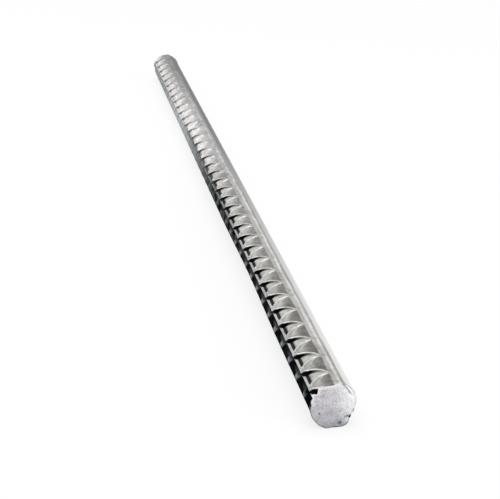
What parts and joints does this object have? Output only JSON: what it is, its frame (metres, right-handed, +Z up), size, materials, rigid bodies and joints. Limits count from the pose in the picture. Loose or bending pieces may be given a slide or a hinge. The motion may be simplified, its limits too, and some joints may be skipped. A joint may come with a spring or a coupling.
{
  "type": "steel reinforcing bar",
  "caption": "Straight cut length of hot-rolled ribbed steel bar, cast into concrete to carry its tension.",
  "frame": {"origin": "on the floor plane, under the middle of the bar", "axes": "+Y along the bar, away from the end that shows; +Z up as the bar lies; +X to the right seen from the end that shows"},
  "size_m": [0.0274, 1, 0.0274],
  "materials": {
    "mill_steel": "dull grey as-rolled steel, clean and without rust, with paler rough cut ends"
  },
  "bodies": {
    "root": {"ribbed_bar": "mill_steel"}
  },
  "joints": []
}
